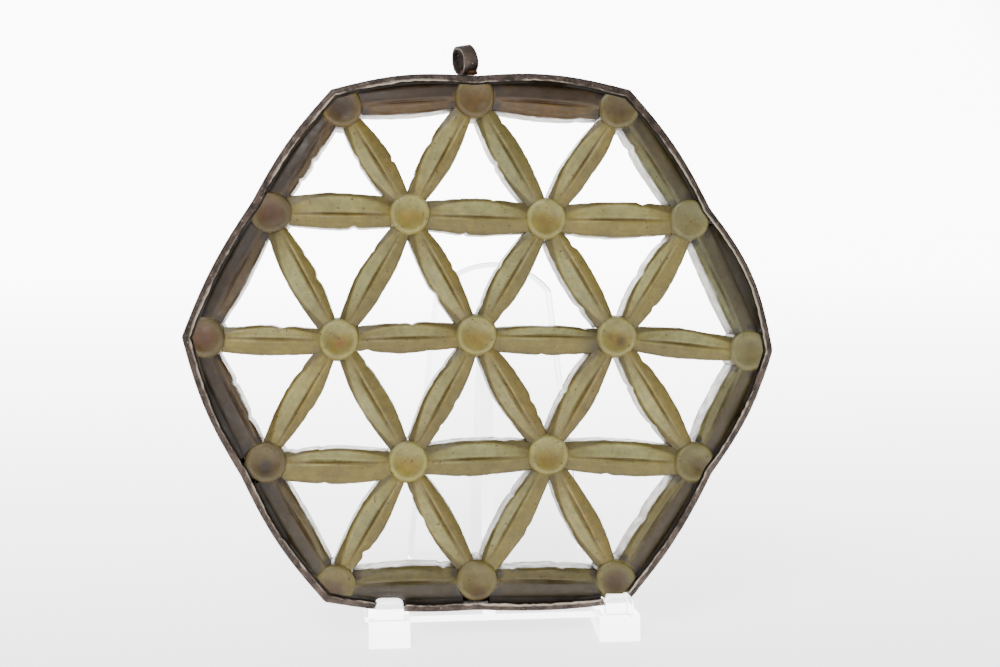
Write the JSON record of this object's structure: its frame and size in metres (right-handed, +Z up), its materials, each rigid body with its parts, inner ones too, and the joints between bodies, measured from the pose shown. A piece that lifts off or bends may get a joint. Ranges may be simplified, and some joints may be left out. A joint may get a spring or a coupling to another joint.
{
  "type": "openwork jade plaque",
  "caption": "Openwork jade plaque of round bosses and leaf-like struts in a tarnished silver band with a hanging loop, leaning on a small clear easel.",
  "frame": {"origin": "on the table, under the middle of the bounding box", "axes": "+Z up, the carved face of the plaque towards -Y and leaning back towards +Y, +X to the viewer's right"},
  "size_m": [0.0812, 0.0392, 0.08],
  "materials": {
    "jade": "worn polish, brown staining",
    "silver": "tarnished silver",
    "clear_acrylic": "clear polished"
  },
  "bodies": {
    "root": {"jade_plaque": "jade", "silver_band": "silver", "silver_band_lower": "silver", "hanging_loop": "silver", "display_stand": "clear_acrylic"}
  },
  "joints": []
}
